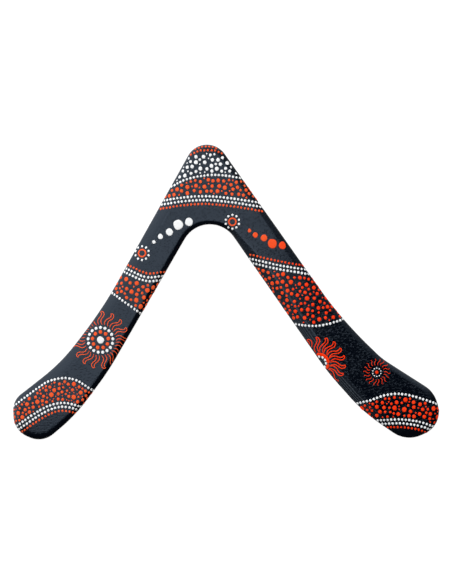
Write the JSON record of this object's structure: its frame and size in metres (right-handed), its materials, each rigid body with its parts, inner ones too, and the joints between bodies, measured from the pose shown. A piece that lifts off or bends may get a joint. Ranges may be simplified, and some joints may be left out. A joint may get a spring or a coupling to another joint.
{
  "type": "boomerang",
  "caption": "Right-handed returning boomerang carved from plywood, with a bare varnished underside and a painted, dotted upper face.",
  "frame": {"origin": "centre of the footprint, on the flat underside", "axes": "+X along the line through the two tips, +Y from the tips to the elbow, +Z out of the painted face"},
  "size_m": [0.4, 0.2768, 0.0083],
  "materials": {
    "face_wood": "satin",
    "core_wood": "matte",
    "cross_wood": "matte",
    "black_paint": "satin",
    "white_paint": "satin",
    "orange_paint": "satin"
  },
  "bodies": {
    "root": {"back_veneer": "face_wood", "lower_crossband": "cross_wood", "lower_core_veneer": "core_wood", "centre_crossband": "cross_wood", "upper_core_veneer": "core_wood", "upper_crossband": "cross_wood", "face_veneer": "face_wood", "base_coat": "black_paint"}
  },
  "joints": []
}
